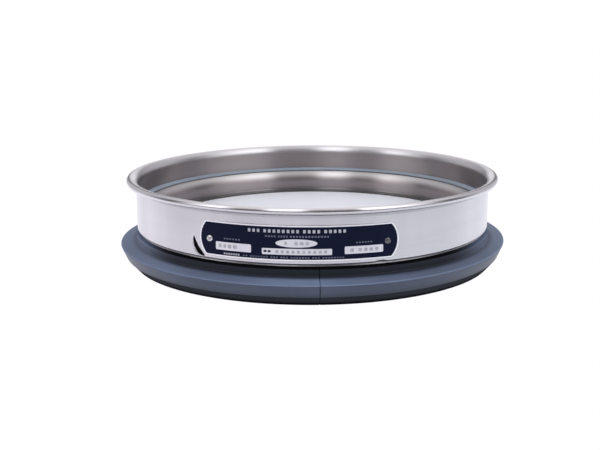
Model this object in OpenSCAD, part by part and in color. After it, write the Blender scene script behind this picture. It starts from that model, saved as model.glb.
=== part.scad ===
// Half-height laboratory test sieve with a rolled rim, a clamped wire cloth,
// a nameplate and a rubber seal ring fitted round its skirt.
// Millimetres, +Z up. The origin is the centre of the circle that the seal
// ring stands on. The nameplate faces -Y.

/* [Frame shell] */
// Inside diameter of the frame, which the skirt of the next sieve drops into
frame_id = 203.2; // [200:0.1:210]
// Thickness of the spun sheet of the frame, the cloth ring and the skirt
sheet_t = 0.8; // [0.6:0.05:0.9]
// Overall height, from the surface it stands on to the top of the rim
total_h = 50.4; // [48:0.1:70]
// Height of the frame's lower edge above the surface it stands on
shell_z = 20.4; // [20:0.1:22]
// Outside radius of the frame's lower corner
corner_r = 0.9; // [0.9:0.1:1.6]
// Width of the inward shelf under the cloth
shelf_w = 9.6; // [8:0.1:10]

/* [Rolled rim] */
// Radius of the flare that leads from the wall to the top of the rim
flare_r = 4.25; // [3.8:0.05:4.6]
// Outside radius of the curled bead
curl_r = 1.95; // [1.6:0.05:2.1]

/* [Cloth and its ring] */
// Thickness of the woven cloth
cloth_t = 0.2; // [0.1:0.05:0.3]
// Radius of the cloth disc
cloth_r = 96.5; // [95:0.1:98]
// Inside radius of the cloth ring at its upright wall
ring_wall_r = 94.1; // [93.5:0.1:95]
// Radius of the rounded shoulder at the top of the cloth ring
shoulder_r = 7.3; // [6.5:0.1:7.4]
// Width of the flat foot of the cloth ring, on the cloth
foot_w = 2.4; // [1.6:0.1:2.6]
// Radius of the small fillet between the foot and the upright wall
foot_r = 1.2; // [0.8:0.1:1.8]
// Height of the plain upright between the fillet and the shoulder
upright_h = 4.05; // [2:0.05:6]

/* [Skirt] */
// Outside diameter of the skirt
skirt_od = 202.4; // [202:0.1:202.6]
// Height of the skirt's lower edge
skirt_z = 8; // [6:0.1:10]

/* [Seal ring] */
// Outside radius of the seal ring at its lip
lip_r = 112.25; // [110:0.05:116]
// Height of the lip
lip_z = 12.6; // [11.5:0.1:13.5]
// Outside radius of the collar under the frame
collar_r = 102.9; // [102.7:0.05:104]
// Height of the top of the collar
collar_z = 19.4; // [18:0.1:19.5]
// Height of the bevel round the top of the collar
collar_cut = 1.1; // [0.4:0.1:1.6]
// Radius of the lower edge of the outer band
band_r = 109.3; // [107:0.1:110]
// Height of the lower edge of the outer band
band_z = 5.8; // [4:0.1:7]
// Outside radius of the foot of the seal ring
seal_foot_r = 104.2; // [103:0.1:106]
// Radius of the opening through the foot of the seal ring
seal_bore_r = 99; // [97:0.1:100]
// Direction of the butt joint, in degrees round from the middle of the nameplate
joint_a = 6.45; // [-180:0.05:180]
// Gap of the butt joint
joint_gap = 0.3; // [0.2:0.05:0.6]

/* [Nameplate] */
// Height of the plate
plate_h = 18.4; // [12:0.1:19]
// Height of the middle of the plate above the surface
plate_z = 31.6; // [31:0.1:32]
// Straight-line width between the plate's corners
plate_w = 95.2; // [60:0.1:110]
// How far each round end bulges past the corners
plate_bulge = 3.4; // [1:0.1:6]
// Thickness of the plate
plate_t = 0.45; // [0.3:0.05:0.6]
// Direction of each rivet, in degrees round from the middle of the plate
rivet_a = 26.3; // [15:0.1:26.5]
// Height of the rivets
rivet_z = 31.2; // [30:0.1:33]
// Diameter of a rivet's head
rivet_head_d = 3.6; // [2.5:0.1:4.5]
// Diameter of a rivet's shank
rivet_shank_d = 1.76; // [1.5:0.02:2.2]

/* [Hidden] */
$fn = 180;

steel = [0.80, 0.80, 0.82];
rubber_blue = [0.36, 0.42, 0.51];
navy = [0.05, 0.07, 0.16];

wall_ri = frame_id/2;                 // inside of the frame wall
wall_ro = wall_ri + sheet_t;          // outside of the frame wall
flare_z = total_h - flare_r;          // where the wall starts to flare
curl_x = wall_ri + flare_r;           // middle of the curled bead
curl_z = total_h - curl_r;
shelf_top = shell_z + sheet_t;        // the cloth lies on this
cloth_top = shelf_top + cloth_t;
shelf_ri = wall_ri - shelf_w;
foot_x = ring_wall_r - foot_r;        // centre of the foot fillet
foot_z = cloth_top + sheet_t + foot_r;
shoulder_x = ring_wall_r + shoulder_r;
shoulder_z = foot_z + upright_h;
ring_top = shoulder_z + shoulder_r;
seat_z = ring_top + 1.25;             // lower end of the straight mouth
rivet_hole_d = rivet_shank_d + 0.04;
skirt_ro = skirt_od/2;
bore_gap = 0.05;                      // slip gap between pressed rings

// Part of a sheet bend: outside radius ro, thickness t, kept where
// sx and sy give the signs of the quadrant.
module bend(ro, t, sx, sy) {
  intersection() {
    difference() { circle(ro); circle(ro - t); }
    translate([sx > 0 ? 0 : -2*ro, sy > 0 ? 0 : -2*ro]) square(2*ro);
  }
}

// Radial hole or pin, pointing out of the wall at angle a and height z.
module radial(a, z) {
  rotate([0, 0, a]) translate([0, 0, z]) rotate([90, 0, 0]) children();
}

module frame_shell() {
  color(steel) difference() {
    rotate_extrude($fn = 360) {
      // wall, straight in the mouth and very slightly waisted behind the cloth ring
      polygon([[wall_ro, shell_z + corner_r], [wall_ro, flare_z], [wall_ri, flare_z],
               [wall_ri, seat_z], [wall_ri - 0.05, seat_z - 8.5],
               [wall_ri, shell_z + corner_r]]);
      // flare and curled bead
      translate([curl_x, flare_z]) bend(flare_r, sheet_t, -1, 1);
      translate([curl_x, curl_z]) difference() {
        circle(curl_r);
        circle(curl_r - sheet_t);
        translate([-2*curl_r, 0]) square(2*curl_r);
      }
      // lower corner and shelf
      translate([wall_ro - corner_r, shell_z + corner_r])
        bend(corner_r, sheet_t, 1, -1);
      translate([shelf_ri, shell_z])
        square([wall_ro - corner_r - shelf_ri, sheet_t]);
    }
    for (s = [-1, 1])
      radial(s*rivet_a, rivet_z)
        translate([0, 0, wall_ri - 2]) cylinder(d = rivet_hole_d, h = 5, $fn = 32);
  }
}

module cloth_ring() {
  color(steel) rotate_extrude($fn = 360) {
    // foot and small fillet
    translate([foot_x - foot_w, cloth_top]) square([foot_w, sheet_t]);
    translate([foot_x, foot_z]) bend(foot_r + sheet_t, sheet_t, 1, -1);
    // upright
    translate([ring_wall_r, foot_z]) square([sheet_t, upright_h]);
    // rounded shoulder out to the frame wall
    translate([shoulder_x, shoulder_z]) bend(shoulder_r, sheet_t, -1, 1);
    translate([shoulder_x, ring_top - sheet_t])
      square([max(0.01, wall_ri - bore_gap - shoulder_x), sheet_t]);
  }
}

module inner_gasket() {
  x1 = wall_ri - 0.02;
  color(rubber_blue) rotate_extrude($fn = 360) difference() {
    polygon([[x1, ring_top - 1.2], [x1, ring_top + 1.2],
             [x1 - 2.65, ring_top + 0.2], [x1 - 3.0, ring_top + 0.05],
             [x1 - 3.25, ring_top - 0.25], [x1 - 3.3, ring_top - 0.55],
             [x1 - 3.25, ring_top - 1.2]]);
    translate([shoulder_x, shoulder_z]) circle(shoulder_r + 0.01);
    translate([shoulder_x, ring_top - 3]) square([3, 3.01]);
  }
}

module wire_cloth() {
  color([0.86, 0.86, 0.88]) translate([0, 0, shelf_top])
    cylinder(r = cloth_r, h = cloth_t, $fn = 360);
}

module cloth_bond() {
  color([0.16, 0.16, 0.17]) rotate_extrude($fn = 360)
    translate([foot_x - foot_w, cloth_top])
      polygon([[-0.02, 0.01], [-0.02, 0.72], [-0.16, 0.66], [-0.42, 0.3], [-0.75, 0.01]]);
}

module skirt() {
  r = 1.2;
  color(steel) rotate_extrude($fn = 360) {
    translate([shelf_ri + 1, shell_z - sheet_t])
      square([skirt_ro - r - shelf_ri - 1, sheet_t]);
    translate([skirt_ro - r, shell_z - r]) bend(r, sheet_t, 1, 1);
    translate([skirt_ro - sheet_t, skirt_z])
      square([sheet_t, shell_z - r - skirt_z]);
  }
}

module seal_ring() {
  color(rubber_blue) difference() {
    rotate_extrude($fn = 360) polygon([
      // collar round the skirt
      [skirt_ro + bore_gap, skirt_z], [skirt_ro + bore_gap, collar_z],
      [collar_r - 1.4, collar_z], [collar_r - 0.4, collar_z - collar_cut],
      [collar_r - 0.25, collar_z - collar_cut - 0.25],
      // crease and flange
      [collar_r - 0.1, lip_z + 2.3], [collar_r + 0.1, lip_z + 2.0],
      [collar_r + 0.45, lip_z + 1.82],
      // rounded lip
      [lip_r - 0.65, lip_z + 0.52], [lip_r - 0.3, lip_z + 0.4],
      [lip_r - 0.1, lip_z + 0.25], [lip_r, lip_z], [lip_r - 0.05, lip_z - 0.25],
      // outer band, undercut and foot
      [band_r + 0.05, band_z + 0.15], [band_r - 0.1, band_z - 0.15],
      [seal_foot_r + 0.3, 0.35], [seal_foot_r, 0.1], [seal_foot_r - 0.3, 0],
      [seal_bore_r, 0], [seal_bore_r, skirt_z]]);
    // butt joint
    rotate([0, 0, joint_a])
      translate([-joint_gap/2, -lip_r - 5, -5]) cube([joint_gap, 20, 40]);
  }
}

module plate_outline() {
  h = plate_h/2;
  end_x = plate_w/2 + plate_bulge;
  end_r = (h*h + plate_bulge*plate_bulge)/(2*plate_bulge);
  intersection() {
    square([2*end_x, plate_h], center = true);
    union() {
      square([plate_w, plate_h], center = true);
      for (s = [-1, 1]) translate([s*(end_x - end_r), 0]) circle(end_r);
    }
  }
}

module nameplate() {
  color(navy) difference() {
    intersection() {
      difference() {
        translate([0, 0, plate_z - plate_h]) cylinder(r = wall_ro + plate_t, h = 2*plate_h, $fn = 360);
        translate([0, 0, plate_z - plate_h - 1]) cylinder(r = wall_ro, h = 2*plate_h + 2, $fn = 360);
      }
      translate([0, 0, plate_z]) rotate([90, 0, 0])
        translate([0, 0, wall_ro*0.6]) linear_extrude(height = wall_ro) plate_outline();
    }
    for (s = [-1, 1])
      radial(s*rivet_a, rivet_z)
        translate([0, 0, wall_ro - 2]) cylinder(d = rivet_hole_d, h = 5, $fn = 32);
  }
}

module nameplate_rivets() {
  head_r = rivet_head_d/2;
  head_h = 0.75;
  dome_r = (head_r*head_r + head_h*head_h)/(2*head_h);
  color([0.78, 0.78, 0.80])
    for (s = [-1, 1])
      radial(s*rivet_a, rivet_z) {
        translate([0, 0, wall_ro - 1.8]) cylinder(d = rivet_shank_d, h = plate_t + 1.8, $fn = 32);
        rotate_extrude($fn = 48) translate([0, wall_ro + plate_t]) intersection() {
          translate([0, head_h - dome_r]) circle(dome_r, $fn = 96);
          square([head_r, head_h]);
        }
      }
}

frame_shell();
cloth_ring();
inner_gasket();
wire_cloth();
cloth_bond();
skirt();
seal_ring();
nameplate();
nameplate_rivets();
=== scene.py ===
import math
import bpy
import numpy as np
from mathutils import Matrix, Vector


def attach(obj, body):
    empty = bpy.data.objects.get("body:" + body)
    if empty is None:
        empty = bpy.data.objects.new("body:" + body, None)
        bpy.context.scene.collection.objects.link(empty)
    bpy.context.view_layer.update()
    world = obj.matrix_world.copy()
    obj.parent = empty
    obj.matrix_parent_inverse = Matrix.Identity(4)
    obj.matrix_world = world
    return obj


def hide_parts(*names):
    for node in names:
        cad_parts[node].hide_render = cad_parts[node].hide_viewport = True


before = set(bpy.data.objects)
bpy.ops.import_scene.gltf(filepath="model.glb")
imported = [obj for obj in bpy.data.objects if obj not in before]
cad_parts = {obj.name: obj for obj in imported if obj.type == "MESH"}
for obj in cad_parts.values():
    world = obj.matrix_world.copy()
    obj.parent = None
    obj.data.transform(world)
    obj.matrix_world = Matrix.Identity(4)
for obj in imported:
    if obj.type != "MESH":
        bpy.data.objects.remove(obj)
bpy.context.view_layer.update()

MM = 0.001
scene = bpy.context.scene

# ---------------------------------------------------------------- camera
# The angle that the sieve is seen from: 13 degrees above the horizon, 4.4 degrees
# to the right of the middle of the nameplate.
TURN = Matrix.Rotation(math.radians(4.4), 3, "Z")


def make_camera():
    dist, elev = 0.651136, math.radians(12.99989)
    tilt, pan, roll = (math.radians(x) for x in (0.447986, -0.627894, -0.219733))
    right = Vector((1, 0, 0))
    ahead = Vector((0, math.cos(elev), -math.sin(elev)))
    up = right.cross(ahead)
    ahead, up = (ahead * math.cos(tilt) + up * math.sin(tilt),
                 up * math.cos(tilt) - ahead * math.sin(tilt))
    ahead, right = (ahead * math.cos(pan) + right * math.sin(pan),
                    right * math.cos(pan) - ahead * math.sin(pan))
    right, up = (right * math.cos(roll) + up * math.sin(roll),
                 up * math.cos(roll) - right * math.sin(roll))
    cam = bpy.data.cameras.new("camera")
    obj = bpy.data.objects.new("camera", cam)
    scene.collection.objects.link(obj)
    turn = Matrix((right, up, -ahead)).transposed()
    obj.matrix_world = (Matrix.Translation(TURN @ Vector((0, -dist * math.cos(elev), dist * math.sin(elev)))
                                           + Vector((0, 0, 0.013096)))
                        @ (TURN @ turn).to_4x4())
    cam.sensor_width = 36
    cam.lens = 1093.882 / 600 * 36
    cam.clip_start, cam.clip_end = 0.01, 50
    scene.camera = obj


make_camera()
scene.view_settings.view_transform = "Standard"

# ---------------------------------------------------------------- node helpers


class Nodes:
    """A small wrapper that keeps node code short."""

    def __init__(self, tree):
        self.t = tree
        self.t.nodes.clear()

    def new(self, kind, **props):
        n = self.t.nodes.new(kind)
        for k, v in props.items():
            setattr(n, k, v)
        return n

    def put(self, sock, value):
        if isinstance(value, bpy.types.NodeSocket):
            self.t.links.new(value, sock)
        elif value is not None:
            if hasattr(sock.default_value, "__len__") and not hasattr(value, "__len__"):
                value = (value,) * len(sock.default_value)
            if hasattr(value, "__len__") and len(sock.default_value) == 4 and len(value) == 3:
                value = (*value, 1)
            sock.default_value = value

    def math(self, op, a, b=None, c=None, clamp=False):
        n = self.new("ShaderNodeMath", operation=op, use_clamp=clamp)
        for s, v in zip(n.inputs, (a, b, c)):
            self.put(s, v)
        return n.outputs[0]

    def mix(self, f, a, b, kind="RGBA", blend="MIX"):
        n = self.new("ShaderNodeMix", data_type=kind, blend_type=blend)
        ins = [s for s in n.inputs if s.enabled]
        for s, v in zip(ins, (f, a, b)):
            self.put(s, v)
        return [o for o in n.outputs if o.enabled][0]

    def ramp(self, x, lo, hi, a=0.0, b=1.0, smooth=True):
        """a below lo, b above hi, eased between."""
        n = self.new("ShaderNodeMapRange", interpolation_type="SMOOTHSTEP" if smooth else "LINEAR")
        for s, v in zip(n.inputs, (x, lo, hi, a, b)):
            self.put(s, v)
        return n.outputs[0]

    def noise(self, vec, scale, detail=3, rough=0.5):
        n = self.new("ShaderNodeTexNoise", noise_dimensions="3D")
        self.put(n.inputs["Vector"], vec)
        n.inputs["Scale"].default_value = scale
        n.inputs["Detail"].default_value = detail
        n.inputs["Roughness"].default_value = rough
        return n.outputs["Fac"]

    def xyz(self, vec):
        n = self.new("ShaderNodeSeparateXYZ")
        self.put(n.inputs[0], vec)
        return n.outputs

    def vec(self, x, y, z):
        n = self.new("ShaderNodeCombineXYZ")
        for s, v in zip(n.inputs, (x, y, z)):
            self.put(s, v)
        return n.outputs[0]

    def attr(self, name):
        return self.new("ShaderNodeAttribute", attribute_name=name).outputs["Fac"]

    def bump(self, height, strength, distance, normal=None):
        n = self.new("ShaderNodeBump")
        n.inputs["Strength"].default_value = strength
        n.inputs["Distance"].default_value = distance
        self.put(n.inputs["Height"], height)
        self.put(n.inputs["Normal"], normal)
        return n.outputs[0]


def material(name):
    m = bpy.data.materials.new(name)
    m.use_nodes = True
    n = Nodes(m.node_tree)
    out = n.new("ShaderNodeOutputMaterial")
    b = n.new("ShaderNodeBsdfPrincipled")
    n.t.links.new(b.outputs[0], out.inputs[0])
    return m, n, b.inputs


def place(n):
    """Position on the object, in metres."""
    return n.new("ShaderNodeTexCoord").outputs["Object"]


def spun(n, round_k, along_k):
    """Coordinates that run fast along a turned profile and slowly round it."""
    x, y, z = n.xyz(place(n))
    r = n.math("SQRT", n.math("ADD", n.math("MULTIPLY", x, x), n.math("MULTIPLY", y, y)))
    return n.vec(n.math("MULTIPLY", x, round_k), n.math("MULTIPLY", y, round_k),
                 n.math("MULTIPLY", n.math("ADD", z, r), along_k))


def steel(name, base, rough, spread, aniso, marks, tint=0.05, scuffs_and_shade=False, inside=None, satin=None, foot=None):
    """Spun stainless sheet: turning marks round the axis, faint clouding. The inside is rougher, and its colour is
    darkened: painted shade.
    """
    m, n, b = material(name)
    fine = n.noise(spun(n, 22, 2600), 1, 2, 0.6)
    broad = n.noise(spun(n, 9, 260), 1, 3, 0.55)
    cloud = n.noise(place(n), 26, 4, 0.6)
    tone = n.math("ADD", n.math("MULTIPLY", fine, 0.3), n.math("ADD", n.math("MULTIPLY", broad, 0.35), n.math("MULTIPLY", cloud, 0.35)))
    dark = tuple(c * (1 - tint) for c in base)
    light = tuple(min(1, c * (1 + tint)) for c in base)
    col = n.mix(n.ramp(tone, 0.3, 0.7), dark, light)
    # painted shade: where the inner mask is set, the colour goes to a darker copy of the base
    if inside:
        shaded_tones = tuple(c * (1 - tint) for c in inside), tuple(c * (1 + tint) for c in inside)
        col = n.mix(n.attr("inner"), col, n.mix(n.ramp(tone, 0.3, 0.7), *shaded_tones))
    # painted shade: the fillet at the foot of the cloth ring is darkened
    if foot:
        col = n.mix(n.attr("foot"), col, foot)
    # painted shade: the crease under the curled bead is greyed
    if scuffs_and_shade:
        col = n.mix(n.attr("crease"), col, (0.50, 0.49, 0.505))
    rgh = n.ramp(n.math("ADD", n.math("MULTIPLY", fine, 0.5), n.math("MULTIPLY", cloud, 0.5)), 0.25, 0.75, rough - spread, rough + spread)
    if satin:
        rgh = n.mix(n.attr("satin"), rgh, n.math("ADD", rgh, satin), kind="FLOAT")
    if scuffs_and_shade:
        mark = n.attr("mark")
        streak = n.noise(spun(n, 160, 700), 1, 3, 0.6)
        mask = n.ramp(n.math("ADD", mark, n.math("MULTIPLY", n.math("SUBTRACT", streak, 0.5), 0.35)), 0.28, 0.62)
        col = n.mix(mask, col, (0.006, 0.006, 0.007))
        rgh = n.mix(mask, rgh, 0.6, kind="FLOAT")
    n.put(b["Base Color"], col)
    n.put(b["Roughness"], rgh)
    b["Metallic"].default_value = 1
    b["Anisotropic"].default_value = aniso
    b["Anisotropic Rotation"].default_value = 0.25
    n.put(b["Tangent"], n.new("ShaderNodeTangent", direction_type="RADIAL", axis="Z").outputs[0])
    n.put(b["Normal"], n.bump(n.math("ADD", n.math("MULTIPLY", fine, 0.4), n.math("MULTIPLY", broad, 0.6)), marks, 0.0002))
    return m


def rubber(name, base, other, rough, grain, drag, level=0.5, deep_shade=None, painted_light_colours=None):
    """Extruded rubber: drawn streaks along its length, a faint pale blooming mottle, fine grain. Lighter colours can be
    laid on as painted light, and a darker one as painted shade.
    """
    m, n, b = material(name)
    streak = n.noise(spun(n, 7, 900), 1, 3, 0.6)
    bloom_and_painted_light = n.noise(place(n), 34, 5, 0.62)
    fine = n.noise(place(n), 1500, 2, 0.5)
    tone = n.math("ADD", n.math("MULTIPLY", streak, 0.45), n.math("MULTIPLY", bloom_and_painted_light, 0.55))
    mottle = n.ramp(tone, 0.34, 0.68)
    col = n.mix(mottle, base, other)
    # painted light: lighter colours where light falls on the seal
    if painted_light_colours:
        col = n.mix(n.attr("bloom_and_painted_light"), col, n.mix(mottle, *painted_light_colours))
    # painted shade: the colour goes darker where this mask is set
    if deep_shade:
        col = n.mix(n.attr("deep_shade"), col, deep_shade)
    n.put(b["Base Color"], col)
    n.put(b["Roughness"], n.ramp(tone, 0.3, 0.7, rough - 0.05, rough + 0.07))
    b["Specular IOR Level"].default_value = level
    n.put(b["Normal"], n.bump(n.math("ADD", n.math("MULTIPLY", streak, drag), n.math("MULTIPLY", fine, grain)), 0.5, 0.0002))
    return m


# ---------------------------------------------------------------- mesh helpers


def arc(cx, cz, rad, a0, a1, n):
    """Points of an arc, angles in degrees, both ends included."""
    return [(cx + rad * math.cos(math.radians(a0 + (a1 - a0) * i / n)),
             cz + rad * math.sin(math.radians(a0 + (a1 - a0) * i / n))) for i in range(n + 1)]


def line(p, q, n):
    """Points from p towards q, q left out."""
    return [(p[0] + (q[0] - p[0]) * i / n, p[1] + (q[1] - p[1]) * i / n) for i in range(n)]


def soften(points, n=4):
    """A closed profile of (r, z, rounding) corners with each corner rounded."""
    out = []
    for i, (x, y, rad) in enumerate(points):
        p, a, c = np.array((x, y)), np.array(points[i - 1][:2]), np.array(points[(i + 1) % len(points)][:2])
        u, v = a - p, c - p
        lu, lv = np.linalg.norm(u), np.linalg.norm(v)
        u, v = u / lu, v / lv
        half = math.acos(max(-1, min(1, float(u @ v)))) / 2
        if rad <= 0 or half > math.radians(89):
            out.append((x, y))
            continue
        cut = min(rad / math.tan(half), 0.45 * lu, 0.45 * lv)
        q0, q1 = p + u * cut, p + v * cut
        for k in range(n + 1):
            t = k / n
            q = (1 - t) ** 2 * q0 + 2 * t * (1 - t) * p + t * t * q1
            out.append((float(q[0]), float(q[1])))
    return out


def spaced(points, step):
    """A closed profile with no span longer than step."""
    out = []
    for i, p in enumerate(points):
        q = points[(i + 1) % len(points)]
        n = max(1, int(math.ceil(math.dist(p[:2], q[:2]) / step)))
        out += [(p[0] + (q[0] - p[0]) * k / n, p[1] + (q[1] - p[1]) * k / n) for k in range(n)]
    return out


def ccw(points):
    area = sum(p[0] * q[1] - q[0] * p[1] for p, q in zip(points, points[1:] + points[:1]))
    return points if area > 0 else points[::-1]


def build(name, verts, faces, mats, face_mat=None, attrs=None, sharp=35):
    mesh = bpy.data.meshes.new(name)
    mesh.from_pydata([tuple(v) for v in verts], [], faces)
    for m in mats:
        mesh.materials.append(m)
    if face_mat is not None:
        mesh.polygons.foreach_set("material_index", np.asarray(face_mat, dtype=np.int32))
    mesh.polygons.foreach_set("use_smooth", [True] * len(mesh.polygons))
    for key, val in (attrs or {}).items():
        mesh.attributes.new(key, "FLOAT", "POINT").data.foreach_set("value", np.asarray(val, dtype=np.float32))
    mesh.set_sharp_from_angle(angle=math.radians(sharp))
    mesh.update()
    obj = bpy.data.objects.new(name, mesh)
    scene.collection.objects.link(obj)
    return obj


def turned(name, profile, mats, angles=512, gap=None, shape=None, attrs=None, sharp=35, dark=None):
    """A closed profile in mm turned round Z. Angles are measured from -Y towards +X.

    gap is (middle, width in mm at its radius) of a slit. shape(a, r, z) returns moved r and z.
    dark(r, z) is true where a face takes the second material."""
    prof = np.array(ccw(list(profile)))
    if gap is None:
        a = np.radians(angles) if hasattr(angles, "__len__") else np.linspace(0, 2 * np.pi, angles, endpoint=False)
        A = np.repeat(a[:, None], len(prof), 1)
    else:
        half = gap[1] / 2
        t = np.linspace(0, 1, angles)
        start = math.radians(gap[0]) + half / prof[:, 0]
        stop = math.radians(gap[0]) + 2 * np.pi - half / prof[:, 0]
        A = start[None, :] + (stop - start)[None, :] * t[:, None]
    R = np.repeat(prof[None, :, 0], len(A), 0)
    Z = np.repeat(prof[None, :, 1], len(A), 0)
    vals = {k: f(A, R, Z).reshape(-1) for k, f in (attrs or {}).items()}
    if shape is not None:
        R, Z = shape(A, R, Z)
    nu, nv = R.shape
    verts = np.stack([R * np.sin(A), -R * np.cos(A), Z], -1).reshape(-1, 3) * MM
    idx = np.arange(nu * nv).reshape(nu, nv)
    nxt = np.roll(idx, -1, 0) if gap is None else idx[1:]
    cur = idx if gap is None else idx[:-1]
    quads = np.stack([cur, nxt, np.roll(nxt, -1, 1), np.roll(cur, -1, 1)], -1).reshape(-1, 4).tolist()
    if gap is not None:
        quads += [list(map(int, idx[0])), list(map(int, idx[-1][::-1]))]
    part = [dark(*((prof[k] + prof[(k + 1) % nv]) / 2)) for k in range(nv)] * nu if dark else None
    return build(name, verts, quads, mats, face_mat=part, attrs=vals, sharp=sharp)


def smooth01(x):
    x = np.clip(x, 0, 1)
    return x * x * (3 - 2 * x)


def wobble(A, seed, amp, first=2, last=9):
    """A smooth closed unevenness round the ring, in mm."""
    rng = np.random.default_rng(seed)
    out = np.zeros_like(A)
    for k in range(first, last + 1):
        out += rng.normal() / k * np.cos(k * A + rng.uniform(0, 2 * np.pi))
    return out * amp


def own(obj, slot, *nodes):
    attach(obj, "root")
    if nodes:
        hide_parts(*nodes)
    return obj


# ---------------------------------------------------------------- materials

# painted shade: the darker colour of the inside of the wall and of the cloth ring's upright
INSIDE_PAINTED_SHADE = (0.362, 0.325, 0.330)
WALL = steel("spun_steel", (0.655, 0.645, 0.672), 0.20, 0.02, 0.95, 0.08, 0.035, scuffs_and_shade=True, inside=INSIDE_PAINTED_SHADE, satin=0.14)
SATIN = steel("satin_steel", (0.62, 0.60, 0.61), 0.33, 0.02, 0.98, 0.01, 0.04, inside=INSIDE_PAINTED_SHADE, foot=(0.17, 0.165, 0.17))
DULL = steel("dull_steel", (0.50, 0.49, 0.50), 0.38, 0.05, 0.8, 0.2, 0.06)
# the inside colour here is painted shade on the rivet heads
RIVET = steel("rivet_metal", (0.74, 0.74, 0.77), 0.30, 0.05, 0.0, 0.05, inside=(0.17, 0.17, 0.18))
# painted light: the lit colours of the seal's flange and lip
FLANGE_PAINTED_LIGHT = (0.150, 0.200, 0.325), (0.190, 0.250, 0.390)
SEAL = rubber("seal_rubber", (0.066, 0.083, 0.130), (0.090, 0.112, 0.168), 0.43, 0.25, 0.35, 0.34,
              deep_shade=(0.011, 0.015, 0.026), painted_light_colours=FLANGE_PAINTED_LIGHT)
# painted shade: a darker, duller copy of the seal rubber for the faces above the collar and under the undercut
SEAL_SHADED = rubber("seal_rubber_shaded", (0.026, 0.029, 0.036), (0.036, 0.040, 0.050), 0.88, 0.25, 0.35, 0.02,
               deep_shade=(0.004, 0.004, 0.005), painted_light_colours=FLANGE_PAINTED_LIGHT)
GASKET = rubber("gasket_rubber", (0.27, 0.325, 0.405), (0.34, 0.40, 0.48), 0.36, 0.2, 0.2, deep_shade=(0.035, 0.042, 0.055))


def woven_wire():
    """Very fine plain weave, seen as pale metal with the faint bands of its threads."""
    m, n, b = material("woven_wire")
    x, y, z = n.xyz(place(n))
    c, s = math.cos(math.radians(11)), math.sin(math.radians(11))
    u = n.math("SUBTRACT", n.math("MULTIPLY", x, c), n.math("MULTIPLY", y, s))
    v = n.math("ADD", n.math("MULTIPLY", x, s), n.math("MULTIPLY", y, c))
    k = 2 * math.pi / 0.00026
    su = n.math("SINE", n.math("MULTIPLY", u, k))
    sv = n.math("SINE", n.math("MULTIPLY", v, k))
    over = n.math("MULTIPLY", su, sv)
    threads = n.math("ADD", n.math("MULTIPLY", n.math("ABSOLUTE", su), 0.5), n.math("MULTIPLY", n.math("ABSOLUTE", sv), 0.5))
    weave = n.math("ADD", n.math("MULTIPLY", over, 0.25), threads)
    band_u = n.noise(n.vec(n.math("MULTIPLY", u, 900), n.math("MULTIPLY", v, 14), 0.0), 1, 2, 0.5)
    band_v = n.noise(n.vec(n.math("MULTIPLY", u, 14), n.math("MULTIPLY", v, 900), 3.0), 1, 2, 0.5)
    cloud = n.noise(place(n), 20, 3, 0.5)
    tone = n.math("ADD", n.math("MULTIPLY", weave, 0.4),
                  n.math("ADD", n.math("MULTIPLY", n.math("ADD", band_u, band_v), 0.14), n.math("MULTIPLY", cloud, 0.2)))
    n.put(b["Base Color"], n.mix(n.ramp(tone, 0.25, 0.8), (0.80, 0.825, 0.90), (0.90, 0.93, 1.0)))
    b["Metallic"].default_value = 0.4
    n.put(b["Roughness"], n.ramp(tone, 0.2, 0.8, 0.52, 0.66))
    n.put(b["Normal"], n.bump(weave, 0.25, 0.00003))
    return m


def bond():
    """Cured bonding compound: dark, dull, lumpy."""
    m, n, b = material("dark_bond")
    lump = n.noise(place(n), 420, 4, 0.6)
    broad = n.noise(place(n), 60, 3, 0.5)
    n.put(b["Base Color"], n.mix(n.ramp(n.math("ADD", n.math("MULTIPLY", lump, 0.5), n.math("MULTIPLY", broad, 0.5)), 0.3, 0.7),
                                 (0.045, 0.044, 0.046), (0.09, 0.088, 0.09)))
    n.put(b["Roughness"], n.ramp(lump, 0.3, 0.7, 0.5, 0.7))
    b["Specular IOR Level"].default_value = 0.2
    n.put(b["Normal"], n.bump(lump, 0.5, 0.0002))
    return m


def plate_metal(name, a, b2, rough):
    """Bare plate metal, brushed along its length."""
    m, n, b = material(name)
    x, y, z = n.xyz(place(n))
    grain = n.noise(n.vec(n.math("MULTIPLY", x, 120), n.math("MULTIPLY", y, 120), n.math("MULTIPLY", z, 5200)), 1, 2, 0.6)
    cloud = n.noise(place(n), 150, 3, 0.5)
    tone = n.math("ADD", n.math("MULTIPLY", grain, 0.6), n.math("MULTIPLY", cloud, 0.4))
    n.put(b["Base Color"], n.mix(n.ramp(tone, 0.3, 0.7), a, b2))
    n.put(b["Roughness"], n.ramp(grain, 0.3, 0.7, rough - 0.04, rough + 0.05))
    b["Metallic"].default_value = 1
    n.put(b["Normal"], n.bump(grain, 0.06, 0.0001))
    return m


def ink(name, a, b2, rough, level=0.3):
    """Printed ink with a little unevenness and wear."""
    m, n, b = material(name)
    cloud = n.noise(place(n), 190, 4, 0.6)
    speck = n.noise(place(n), 2600, 2, 0.5)
    n.put(b["Base Color"], n.mix(n.ramp(n.math("ADD", n.math("MULTIPLY", cloud, 0.6), n.math("MULTIPLY", speck, 0.4)), 0.32, 0.68), a, b2))
    n.put(b["Roughness"], n.ramp(cloud, 0.3, 0.7, rough - 0.05, rough + 0.06))
    b["Specular IOR Level"].default_value = level
    n.put(b["Normal"], n.bump(speck, 0.12, 0.00005))
    return m


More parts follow.
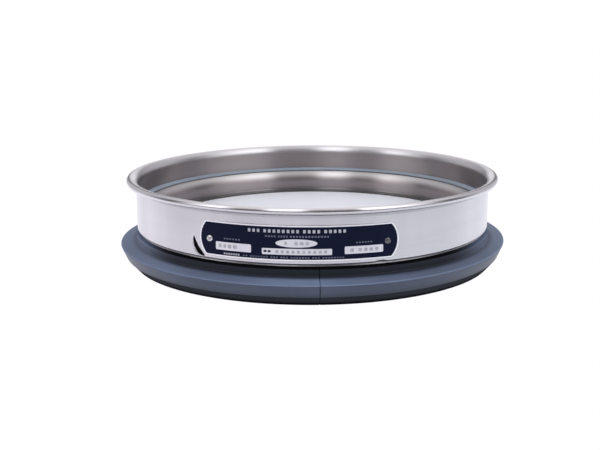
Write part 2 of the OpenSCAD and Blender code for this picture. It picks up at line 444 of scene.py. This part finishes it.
CLOTH = woven_wire()
BOND = bond()
PLATE = plate_metal("plate_metal", (0.84, 0.84, 0.89), (0.93, 0.93, 0.97), 0.30)
WINDOW = plate_metal("plate_window", (0.74, 0.74, 0.80), (0.84, 0.84, 0.90), 0.36)
NAVY = ink("plate_navy", (0.0028, 0.0052, 0.024), (0.0048, 0.0082, 0.034), 0.55, 0.12)
PALE = ink("plate_pale_print", (0.46, 0.47, 0.55), (0.60, 0.61, 0.70), 0.5)
DIM = ink("plate_dim_print", (0.10, 0.11, 0.17), (0.20, 0.21, 0.29), 0.5)
GREY = ink("plate_grey_stamp", (0.44, 0.44, 0.48), (0.57, 0.57, 0.62), 0.5)

# ---------------------------------------------------------------- frame shell

WI, WO = 101.6, 102.4          # the wall, inside and outside
MARK = (-47.73, 31.10, 10.09)  # centre and radius of the scuff on the flattened wall


def scuff(A, R, Z):
    """1 in the middle of the dark crescent scuff left of the nameplate, 0 off it."""
    s = np.degrees(np.where(A > np.pi, A - 2 * np.pi, A)) * math.pi / 180 * WO
    ds, dz = s - MARK[0], Z - MARK[1]
    off = np.hypot(ds, dz) - MARK[2]
    along = np.degrees(np.arctan2(dz, ds)) % 360
    t = (along - 178.5) / (252.5 - 178.5)
    width = 1.75 * np.power(np.clip(4 * t * (1 - t), 0, 1), 0.7) * (0.85 + 0.25 * t)
    value = np.where((t > 0) & (t < 1), 1 - np.abs(off) / np.maximum(width * 1.6, 1e-3), -1.0)
    return np.where(R > WO - 0.6, np.clip(value, 0, 1), 0.0)


def shell_shape(A, R, Z):
    deg = np.degrees(A)
    side = wobble(A, 3, 0.05, 3, 11)
    # the wall wanders a little, the rim and the corner less
    w = np.exp(-((Z - 33) / 9.0) ** 2)
    R = R + side * w + wobble(A, 4, 0.03, 2, 5)
    R = R - 0.16 * smooth01(scuff(A, R, Z) * 1.6)
    # the nick in the lower corner, right of the nameplate's middle
    nick = smooth01((deg - 22.6) / 0.7) * (1 - smooth01((deg - 25.2) / 1.2))
    low = np.exp(-((Z - 20.4) / 1.1) ** 2) * (R > 101.2)
    return R, Z + 0.60 * nick * low


def shell_profile():
    p = []
    p += [(92.12, 20.4)]
    p += line((92.5, 20.4), (101.5, 20.4), 5)
    p += arc(101.5, 21.3, 0.9, -90, 0, 10)
    p += line((WO, 21.7), (WO, 31.0), 22)
    p += line((WO, 31.0), (WO, 46.15), 16)
    p += arc(105.85, 46.15, 3.45, 180, 90, 22)
    p += arc(105.85, 48.45, 1.15, 90, -180, 26)[1:]
    p += [(104.66, 48.33), (103.98, 48.33)]
    p += arc(105.85, 48.45, 1.95, -178, 90, 44)
    p += arc(105.85, 46.15, 4.25, 90, 180, 30)[1:]
    p += line((WI, 45.4), (WI, 36.0), 8)
    p += [(WI, 36.0), (WI - 0.05, 27.5), (WI, 21.3)]
    p += arc(101.5, 21.3, 0.1, 0, -90, 3)[1:]
    p += [(92.12, 21.2), (92.0, 21.1), (92.0, 20.5)]
    return p


def inside_face(R, Z):
    low = (R < 101.9) & (Z > 21.15)
    up = (np.hypot(R - 105.85, Z - 46.15) > 3.85) & (R < 105.86)
    return np.where(Z < 46.2, low, up)


def inner(A, R, Z):
    """1 on the inside of the wall, fading out up the flare. The colour is darkened there as painted shade."""
    return inside_face(R, Z) * smooth01((47.6 - Z) / 1.7)


def satin(A, R, Z):
    """1 where the inside is less polished, fading out over the top of the bead."""
    return inside_face(R, Z) * smooth01((106.0 - R) / 1.2)


def under_bead(A, R, Z):
    """1 in the crease under the curled bead, fading out down the wall. The colour is greyed there as painted shade."""
    outside = np.where(Z < 46.2, R > 102.1, (np.hypot(R - 105.85, Z - 46.15) < 3.85) & (R < 104.6))
    return outside * smooth01((Z - 44.2) / 1.2)


fine_a = np.arange(-34.5, -26.5, 0.12)
ALL = np.concatenate([np.linspace(-34.5, -26.5, len(fine_a), endpoint=False),
                      np.linspace(-26.5, 325.5, 400, endpoint=False)])
shell = turned("frame_shell_body", shell_profile(), [WALL], angles=ALL, shape=shell_shape, attrs={"mark": scuff, "inner": inner, "satin": satin, "crease": under_bead}, sharp=40)
own(shell, "polished_steel", "frame_shell")

# ---------------------------------------------------------------- cloth ring


def ring_shape(A, R, Z):
    w = np.exp(-((Z - 29) / 5.0) ** 2)
    return R + wobble(A, 11, 0.05, 3, 10) * w, Z


def low(A, R, Z):
    """1 on the upright part of the cloth ring, fading out up its shoulder. The colour is darkened there as painted
    shade, so the shoulder stays lighter.
    """
    return smooth01((33.0 - Z) / 3.6)


def foot(A, R, Z):
    """1 on the foot of the cloth ring, fading out up the fillet. The colour is darkened there as painted shade."""
    return smooth01((23.9 - Z) / 1.5) * (R < 94.5)


ring_p = [(90.5, 21.42), (90.6, 21.4)] + line((90.9, 21.4), (92.9, 21.4), 3)
ring_p += arc(92.9, 23.4, 2.0, -90, 0, 12)
ring_p += line((94.9, 23.8), (94.9, 27.45), 4)
ring_p += arc(101.4, 27.45, 6.5, 180, 90, 22)
ring_p += [(101.5, 33.95), (101.55, 34.0), (101.55, 34.70), (101.5, 34.75)]
ring_p += arc(101.4, 27.45, 7.3, 90, 180, 34)
ring_p += line((94.1, 27.1), (94.1, 23.4), 4)
ring_p += arc(92.9, 23.4, 1.2, 0, -90, 10)
ring_p += line((92.5, 22.2), (90.62, 22.2), 3) + [(90.58, 22.18), (90.5, 22.05)]
cloth_ring = own(turned("cloth_ring_body", ring_p, [SATIN], angles=512, shape=ring_shape, attrs={"inner": low, "foot": foot}), "satin_steel", "cloth_ring")

# ---------------------------------------------------------------- gasket and bond


def gasket_shape(A, R, Z):
    nose = np.clip((101.4 - R) / 3.0, 0, 1)
    return R + wobble(A, 21, 0.10, 2, 14) * nose, Z + wobble(A, 22, 0.06, 3, 16) * nose


def crease(A, R, Z):
    """1 low on the gasket's nose, where it meets the shoulder. The colour is darkened there as painted shade."""
    return smooth01((35.15 - Z) / 0.75) * 0.92


gasket_p = soften([(101.58, 33.55, 0.0), (101.58, 35.95, 0.12), (98.93, 34.98, 0.5), (98.3, 34.45, 0.4), (98.3, 33.86, 0.08),
                   (98.85, 34.12, 0), (99.6, 34.45, 0), (100.4, 34.66, 0), (101.1, 34.745, 0)], 5)
gasket = own(turned("inner_gasket_bead", spaced(gasket_p, 0.5), [GASKET], angles=400, shape=gasket_shape, attrs={"deep_shade": crease}),
             "gasket_rubber", "inner_gasket")


def bead_shape(A, R, Z):
    edge = np.clip((90.48 - R) / 0.7, 0, 1)
    return R + wobble(A, 31, 0.16, 8, 40) * edge, Z


bead_p = soften([(90.48, 21.41, 0), (90.48, 22.12, 0.1), (90.3, 22.06, 0.1), (90.05, 21.72, 0.3), (89.73, 21.41, 0)], 4)
bead = own(turned("cloth_bond_bead", bead_p, [BOND], angles=480, shape=bead_shape), "dark_bond", "cloth_bond")

# ---------------------------------------------------------------- wire cloth


def wire_cloth():
    """A tensioned disc, 0.2 mm thick, that is not quite flat."""
    radii = np.concatenate([[0.0], np.linspace(1.5, 90.0, 60), [92.0, 94.5, 96.3, 96.5]])
    nu = 256
    a = np.linspace(0, 2 * np.pi, nu, endpoint=False)
    tops, bots = [], []
    for r in radii[1:]:
        x, y = r * np.sin(a), -r * np.cos(a)
        free = smooth01((90.0 - r) / 14.0)
        z = free * (0.07 * np.sin(x / 15 + y / 31 + 1.0) + 0.05 * np.sin(y / 12 - x / 27) + 0.03 * np.sin(x / 7.5 + y / 9.0))
        tops.append(np.stack([x, y, 21.395 + z], -1))
        bots.append(np.stack([x, y, 21.205 + z], -1))
    tops, bots = np.array(tops), np.array(bots)
    n = len(radii) - 1
    verts = [(0, 0, tops[0, :, 2].mean()), (0, 0, bots[0, :, 2].mean())]
    t0, b0 = 2, 2 + n * nu
    verts += tops.reshape(-1, 3).tolist() + bots.reshape(-1, 3).tolist()
    faces = []
    for j in range(nu):
        k = (j + 1) % nu
        faces.append([0, t0 + j, t0 + k])
        faces.append([1, b0 + k, b0 + j])
        for i in range(n - 1):
            p, q = t0 + i * nu, t0 + (i + 1) * nu
            faces.append([p + j, q + j, q + k, p + k])
            p, q = b0 + i * nu, b0 + (i + 1) * nu
            faces.append([p + j, p + k, q + k, q + j])
        p, q = t0 + (n - 1) * nu, b0 + (n - 1) * nu
        faces.append([p + j, q + j, q + k, p + k])
    return build("wire_cloth_disc", np.array(verts) * MM, faces, [CLOTH])


cloth = own(wire_cloth(), "woven_wire", "wire_cloth")

# ---------------------------------------------------------------- skirt

skirt_p = [(93.0, 19.72), (93.1, 19.6)] + line((93.4, 19.6), (100.0, 19.6), 4)
skirt_p += arc(100.0, 19.2, 0.4, 90, 0, 4)
skirt_p += line((100.4, 18.8), (100.4, 8.1), 6) + [(100.4, 8.1), (100.5, 8.0), (101.1, 8.0), (101.2, 8.1)]
skirt_p += line((101.2, 8.5), (101.2, 19.2), 6) + arc(100.0, 19.2, 1.2, 0, 90, 8)
skirt_p += line((99.6, 20.4), (93.1, 20.4), 4) + [(93.1, 20.4), (93.0, 20.28)]
skirt = own(turned("skirt_ring", skirt_p, [DULL], angles=384), "satin_steel", "skirt")

# ---------------------------------------------------------------- seal ring


def seal_shape(A, R, Z):
    """The lip is soft: it lies a little higher towards the back and the right, with a slow wave."""
    x, y = R * np.sin(A), -R * np.cos(A)
    w = smooth01((R - 103.2) / 8.5) * smooth01((Z - 1.0) / 7.0)
    lift = 0.0035 * x + 0.0062 * y + wobble(A, 41, 0.10, 2, 6)
    R, Z = R + w * wobble(A, 42, 0.12, 2, 7), Z + w * lift
    # the two ends meet in a butt joint: a narrow groove down the outside
    d = np.abs((np.degrees(A) - 6.45 + 180) % 360 - 180)
    cut = smooth01((0.11 - d) / 0.06)
    return R - 0.9 * cut * (R > 102.3), Z - 0.5 * cut * smooth01((Z - 11.5) / 1.5) * (R > 102.3)


def sides(A):
    """1 at the left and right ends of the ring, 0 across its front."""
    deg = (np.degrees(A) - 4.4 + 180) % 360 - 180
    return smooth01((np.abs(deg) - 42) / 26)


def deep_shade(A, R, Z):
    """1 where the colour is darkened as painted shade: the collar, fading out in the crease, the lower band, the top
    bevel and the last of the undercut, less at the ends of the ring.
    """
    collar = smooth01((107.2 - R) / 4.0) * smooth01((Z - 13.0) / 0.5) * (1 - 0.5 * sides(A))
    band = 0.45 * smooth01((9.0 - Z) / 3.2)
    return np.where(Z < 5.84, smooth01((2.6 - Z) / 1.6), np.maximum(band, np.where(Z > 14.5, 1 - 0.8 * sides(A), collar)))


def bloom_and_painted_light(A, R, Z):
    """1 on top of the flange and over its lip, and on the collar at the ends of the ring: painted light, in thinner and
    thicker patches round the ring, with a painted highlight along the lip.
    """
    deg = (np.degrees(A) - 4.4 + 180) % 360 - 180
    patch = 0.74 + 0.40 * np.exp(-((deg + 5) / 9.0) ** 2) - 0.22 * np.exp(-((deg + 30) / 13.0) ** 2) \
        - 0.42 * np.exp(-((deg - 34) / 15.0) ** 2) - 0.34 * np.exp(-((deg - 56) / 12.0) ** 2)
    # painted highlight along the lip, strongest at the front
    lip = smooth01((R - 111.2) / 0.5) * (0.50 + 0.45 * np.exp(-((deg + 4) / 7.0) ** 2))
    return smooth01((Z - 12.35) / 0.4) * np.where(Z > 14.5, 0.75 * sides(A), patch + lip)


seal_corners = [
    (101.25, 8.0, 0.1), (101.25, 19.4, 0.1), (101.5, 19.4, 0.1), (102.6, 18.1, 0.25), (102.8, 14.5, 0.7),
    (105.6, 13.90, 0), (108.4, 13.42, 0), (110.6, 13.16, 0), (112.0, 13.02, 0.5), (112.25, 12.5, 0.5),
    (109.3, 5.85, 0.35), (104.15, 0.0, 0.5), (99.0, 0.0, 0.5), (99.0, 8.0, 0.4)]
seal_p = spaced(soften(seal_corners, 6), 0.9)
JOINT = np.concatenate([6.45 + np.array([-0.9, -0.35, -0.13, -0.09, -0.03, 0.03, 0.09, 0.13, 0.35, 0.9]),
                        np.linspace(7.8, 365.1, 556)])
seal = turned("seal_ring_body", seal_p, [SEAL, SEAL_SHADED], angles=JOINT, shape=seal_shape, attrs={"deep_shade": deep_shade, "bloom_and_painted_light": bloom_and_painted_light}, sharp=50,
              dark=lambda r, z: r > 101.3 and (z > 18.05 or z < 5.8))
own(seal, "seal_rubber", "seal_ring")

# ---------------------------------------------------------------- nameplate

PZ = 31.6                      # middle height of the plate


def wrap(s, z, r):
    """A point s mm round from the middle of the nameplate, at height z and radius r."""
    a = s / WO
    return (r * math.sin(a) * MM, -r * math.cos(a) * MM, z * MM)


class Sheet:
    """Collects thin solids that lie on the frame's wall into one mesh."""

    def __init__(self):
        self.v, self.f, self.m = [], [], []

    def add(self, rows, r0, r1, mat, cols=24, chamfer=0.0):
        """rows are (z, left, right), from low to high, in mm. The solid fills r0 to r1."""
        rows = [r for r in rows if r[2] > r[1]]
        nr, nc = len(rows), cols + 1
        start = len(self.v)
        grid = {}
        zc = (rows[0][0] + rows[-1][0]) / 2
        for layer, (rad, inset) in enumerate(((r0, 0.0), (r1 - chamfer, 0.0), (r1, chamfer))):
            if layer == 1 and chamfer == 0:
                continue
            for i, (z, a, b) in enumerate(rows):
                half = (rows[-1][0] - rows[0][0]) / 2
                zz = zc + (z - zc) * (half - inset) / half
                aa, bb = a + inset, b - inset
                for j in range(nc):
                    s = aa + (bb - aa) * j / cols
                    grid[layer, i, j] = len(self.v)
                    self.v.append(wrap(s, zz, rad))
        top = 2

        def quad(*p):
            self.f.append([grid[q] for q in p])
            self.m.append(mat)

        for i in range(nr - 1):
            for j in range(cols):
                quad((top, i, j), (top, i, j + 1), (top, i + 1, j + 1), (top, i + 1, j))
                quad((0, i, j), (0, i + 1, j), (0, i + 1, j + 1), (0, i, j + 1))
        steps = [(0, 1), (1, 2)] if chamfer else [(0, 2)]
        for lo, hi in steps:
            for i in range(nr - 1):
                quad((lo, i, cols), (lo, i + 1, cols), (hi, i + 1, cols), (hi, i, cols))
                quad((lo, i + 1, 0), (lo, i, 0), (hi, i, 0), (hi, i + 1, 0))
            for j in range(cols):
                quad((lo, 0, j), (lo, 0, j + 1), (hi, 0, j + 1), (hi, 0, j))
                quad((lo, nr - 1, j + 1), (lo, nr - 1, j), (hi, nr - 1, j), (hi, nr - 1, j + 1))
        return start

    def bar(self, s0, s1, z0, z1, r0, r1, mat, rnd=0.0, cols=None, slope=0.0):
        """A bar with rounded ends; slope is not used."""
        n = 6 if rnd else 1
        rows = []
        for i in range(n + 1):
            t = i / n
            z = z0 + (z1 - z0) * t
            d = min(z - z0, z1 - z)
            cut = rnd - math.sqrt(max(0, rnd * rnd - (rnd - d) ** 2)) if d < rnd else 0
            rows.append((z, s0 + cut, s1 - cut))
        self.add(rows, r0, r1, mat, cols or max(1, int((s1 - s0) / 2.0) + 1))

    def object(self, name, mats):
        return build(name, self.v, self.f, mats, face_mat=self.m, sharp=30)


def plate_rows(h, corner, tip, n=28):
    """Half height h; the ends bulge in an arc from corner (at +-h) to tip (at 0)."""
    b = tip - corner
    rad = (h * h + b * b) / (2 * b)
    rows = []
    for i in range(n + 1):
        z = -h + 2 * h * i / n
        e = tip - rad + math.sqrt(rad * rad - z * z)
        rows.append((PZ + z, -e, e))
    return rows


plate = Sheet()
M_PLATE, M_NAVY, M_WINDOW, M_PALE, M_DIM, M_GREY = range(6)
R0, R1 = WO + 0.02, WO + 0.45
plate.add(plate_rows(9.2, 49.6, 53.4), R0, R1, M_PLATE, cols=72, chamfer=0.12)
RN = R1 + 0.02
plate.add(plate_rows(8.38, 49.0, 52.45), R1 - 0.05, RN, M_NAVY, cols=72)


def deg(a):
    return math.radians(a) * WO


RW = RN + 0.015
RP = RW + 0.010
plate.bar(deg(-24.2), deg(-13.05), 26.0, 30.2, RN - 0.02, RW, M_WINDOW, rnd=0.25)
plate.bar(deg(-9.87), deg(10.0), 25.65, 28.85, RN - 0.02, RW, M_WINDOW, rnd=0.25)
plate.bar(deg(13.55), deg(24.86), 25.85, 29.75, RN - 0.02, RW, M_WINDOW, rnd=0.25)
oval = []
for i in range(25):
    t = -1 + 2 * i / 24
    t = math.sin(t * math.pi / 2)
    oval.append((31.65 + 2.12 * t, -10.5 * math.sqrt(max(0.0025, 1 - abs(t) ** 2.2)), 10.5 * math.sqrt(max(0.0025, 1 - abs(t) ** 2.2))))
plate.add(oval, RN - 0.02, RW, M_WINDOW, cols=16)


def words(s0, s1, z0, z1, widths, gap, space, mat, r0, r1, rnd=0.12):
    """Plain blocks in groups that stand for a printed line, with no letter shapes."""
    total = sum(sum(w) + gap * (len(w) - 1) for w in widths) + space * (len(widths) - 1)
    k = (s1 - s0) / total
    s = s0
    for w in widths:
        for x in w:
            plate.bar(s, s + x * k, z0, z1, r0, r1, mat, rnd=rnd, cols=1)
            s += (x + gap) * k
        s += (space - gap) * k


words(deg(-13.9), deg(13.9), 36.9, 38.6, [[1, 1, 1], [1] * 8, [1] * 4, [1] * 5], 0.75, 1.5, M_PALE, RN - 0.01, RP)
words(deg(-8.9), deg(9.1), 34.6, 35.55, [[1] * 4, [0.8] * 4, [1] * 13], 0.6, 1.2, M_DIM, RN - 0.01, RP, 0.08)
words(deg(-21.5), deg(-16.4), 31.7, 32.45, [[1] * 6], 0.6, 1.2, M_DIM, RN - 0.01, RP, 0.08)
words(deg(16.8), deg(21.5), 31.2, 31.95, [[1] * 6], 0.6, 1.2, M_DIM, RN - 0.01, RP, 0.08)
words(deg(-21.6), deg(-16.6), 23.85, 24.75, [[1] * 7], 0.35, 1.2, M_PALE, RN - 0.01, RP, 0.08)
words(deg(-15.5), deg(13.4), 23.9, 24.6, [[1] * 2, [1] * 7, [1] * 3, [1] * 3, [1] * 7, [1] * 3, [1] * 8], 0.6, 1.6, M_DIM, RN - 0.01, RP, 0.08)
words(deg(-23.2), deg(-17.4), 27.2, 29.1, [[1.3, 1.3, 1.5, 1.7]], 0.8, 1, M_GREY, RW - 0.005, RW + 0.006, 0.1)
words(deg(-3.4), deg(3.6), 30.7, 32.5, [[0.9], [1.1, 1.2, 1.1]], 0.6, 2.2, M_GREY, RW - 0.005, RW + 0.006, 0.1)
words(deg(-5.9), deg(8.6), 26.4, 28.0, [[1.1] * 10], 0.9, 1, M_GREY, RW - 0.005, RW + 0.006, 0.1)
words(deg(15.2), deg(23.4), 26.9, 28.6, [[1.2], [1.2] * 4], 0.8, 1.6, M_GREY, RW - 0.005, RW + 0.006, 0.1)
plate.bar(deg(-9.35), deg(-8.45), 26.75, 27.85, RW - 0.005, RW + 0.008, M_NAVY, rnd=0.12, cols=1)
plate.bar(deg(-8.15), deg(-7.3), 26.75, 27.85, RW - 0.005, RW + 0.008, M_NAVY, rnd=0.12, cols=1)
nameplate = own(plate.object("nameplate_body", [PLATE, NAVY, WINDOW, PALE, DIM, GREY]), "printed_plate", "nameplate")

# ---------------------------------------------------------------- rivets


def rivets():
    """Two drive screws: a low dome with a small pit in it, and a shank through the wall."""
    head = [(0.0, 0.47), (0.28, 0.48), (0.46, 0.56), (0.62, 0.70), (0.80, 0.735), (1.0, 0.70), (1.3, 0.58), (1.6, 0.36),
            (1.76, 0.18), (1.8, 0.05), (1.8, 0.0), (0.9, 0.0), (0.88, -0.02), (0.88, -2.2), (0.8, -2.25), (0.0, -2.25)]
    nu = 48
    verts, faces = [], []
    for side in (-1, 1):
        a = math.radians(26.3 * side)
        out = np.array((math.sin(a), -math.cos(a), 0))
        tan = np.array((math.cos(a), math.sin(a), 0))
        up = np.array((0, 0, 1.0))
        mid = out * (WO + 0.45) + up * 31.2
        start = len(verts)
        rings = []
        for r, h in head:
            if r == 0:
                rings.append([len(verts)])
                verts.append(mid + out * h)
            else:
                rings.append(list(range(len(verts), len(verts) + nu)))
                for k in range(nu):
                    t = 2 * math.pi * k / nu
                    verts.append(mid + out * h + r * (tan * math.cos(t) + up * math.sin(t)))
        for p, q in zip(rings, rings[1:]):
            for k in range(nu):
                m = (k + 1) % nu
                if len(p) == 1:
                    faces.append([p[0], q[k], q[m]])
                elif len(q) == 1:
                    faces.append([p[k], q[0], p[m]])
                else:
                    faces.append([p[k], q[k], q[m], p[m]])
    # painted shade: the right head is darkened all over, and the pit of the left head is darkened
    dull = [1.0 if v[0] > 0 else 0.55 * (math.hypot(v[0] + 45.6, v[2] - 31.2) < 0.75) for v in verts]
    return build("nameplate_rivet_heads", np.array(verts) * MM, faces, [RIVET], attrs={"inner": dull}, sharp=50)


own(rivets(), "rivet_metal", "nameplate_rivets")

# ---------------------------------------------------------------- floor and light


def make_floor():
    mesh = bpy.data.meshes.new("floor")
    mesh.from_pydata([(-12, -12, 0), (12, -12, 0), (12, 12, 0), (-12, 12, 0)], [], [[0, 1, 2, 3]])
    m, n, b = material("floor_paper")
    grain = n.noise(place(n), 40, 2, 0.5)
    n.put(b["Base Color"], n.mix(grain, (0.02, 0.02, 0.02), (0.03, 0.03, 0.03)))
    b["Roughness"].default_value = 0.9
    b["Specular IOR Level"].default_value = 0.0
    b["Emission Color"].default_value = (1.0, 0.99, 1.01, 1)
    b["Emission Strength"].default_value = 1.0
    mesh.materials.append(m)
    obj = bpy.data.objects.new("floor", mesh)
    scene.collection.objects.link(obj)
    obj.location.z = -0.00002
    obj.visible_diffuse = False
    obj.visible_glossy = False


def make_world():
    """A soft studio: a white sweep behind, three long soft boxes overhead that run
    away from the viewer, a warm dim room on the viewer's side and dark corners."""
    world = bpy.data.worlds.new("studio")
    scene.world = world
    world.use_nodes = True
    n = Nodes(world.node_tree)
    out = n.new("ShaderNodeOutputWorld")
    bg = n.new("ShaderNodeBackground")
    n.t.links.new(bg.outputs[0], out.inputs[0])
    x0, y0, z = n.xyz(n.new("ShaderNodeTexCoord").outputs["Generated"])
    c, s = math.cos(math.radians(4.4)), math.sin(math.radians(4.4))
    x = n.math("ADD", n.math("MULTIPLY", x0, c), n.math("MULTIPLY", y0, s))
    y = n.math("SUBTRACT", n.math("MULTIPLY", y0, c), n.math("MULTIPLY", x0, s))
    el = n.math("MULTIPLY", n.math("ARCSINE", z), 180 / math.pi)
    az = n.math("MULTIPLY", n.math("ARCTAN2", n.math("ABSOLUTE", x), n.math("MULTIPLY", y, -1)), 180 / math.pi)

    def window(v, a, b, soft_a, soft_b):
        return n.math("MULTIPLY", n.ramp(v, a - soft_a, a + soft_a), n.ramp(v, b - soft_b, b + soft_b, 1, 0))

    # the bright sweep below and round the horizon, dimmer towards the floor under the sieve
    sweep = n.mix(n.ramp(x, -0.9, 0.9), (1.03, 1.01, 1.09), (0.98, 1.01, 1.075))
    folds = n.noise(n.vec(n.math("MULTIPLY", x, 5.5), n.math("MULTIPLY", y, 5.5), 0.0), 1, 3, 0.6)
    level = n.math("MULTIPLY", n.ramp(az, 118, 158, 1.12, 1.0), n.ramp(folds, 0.3, 0.7, 0.955, 1.045, smooth=False))
    sweep = n.mix(1.0, sweep, n.vec(level, level, level), blend="MULTIPLY")
    floor = n.mix(n.ramp(el, -50, -24), (0.78, 0.77, 0.80), sweep)
    floor = n.mix(n.ramp(el, -84, -72), (0.03, 0.03, 0.035), floor)
    # how far from the viewer, past the zenith, a direction lies
    over = n.math("MULTIPLY", n.math("ARCTAN2", z, n.math("MULTIPLY", y, -1)), 180 / math.pi)
    room = n.mix(n.ramp(over, 16, 96), (0.078, 0.058, 0.052), (1.05, 1.03, 1.04))
    corners = n.mix(n.ramp(az, 45, 78), room, (0.11, 0.105, 0.11))
    corners = n.mix(n.ramp(az, 92, 124), corners, (0.64, 0.62, 0.65))
    corners = n.mix(n.ramp(az, 168, 177), corners, (1.12, 1.10, 1.14))
    flags = n.math("MULTIPLY", window(az, 157, 170, 4, 3), window(el, 0, 32, 4, 7))
    corners = n.mix(flags, corners, (0.24, 0.235, 0.25))
    high = n.mix(n.ramp(el, 24, 58), corners, room)
    col = n.mix(n.ramp(el, -11, -4), floor, high)
    # soft boxes, as bands that run from the viewer's side over to the sweep
    band = n.math("MULTIPLY", n.math("ARCTAN2", n.math("MULTIPLY", x, -1), n.math("SUBTRACT", 0.974, y)), 180 / math.pi)
    boxes = n.math("MAXIMUM", window(band, -34, -14.8, 15, 1.5),
                   n.math("MAXIMUM", window(band, 2.5, 13.5, 3, 3), window(band, 26, 38, 3, 13)))
    boxes = n.math("MULTIPLY", boxes, n.math("MULTIPLY", n.ramp(over, 13, 43), n.ramp(over, 70, 102, 1, 0)))
    col = n.mix(boxes, col, (2.3, 2.3, 2.32))
    n.put(bg.inputs["Color"], col)
    bg.inputs["Strength"].default_value = 1.0


make_floor()
make_world()
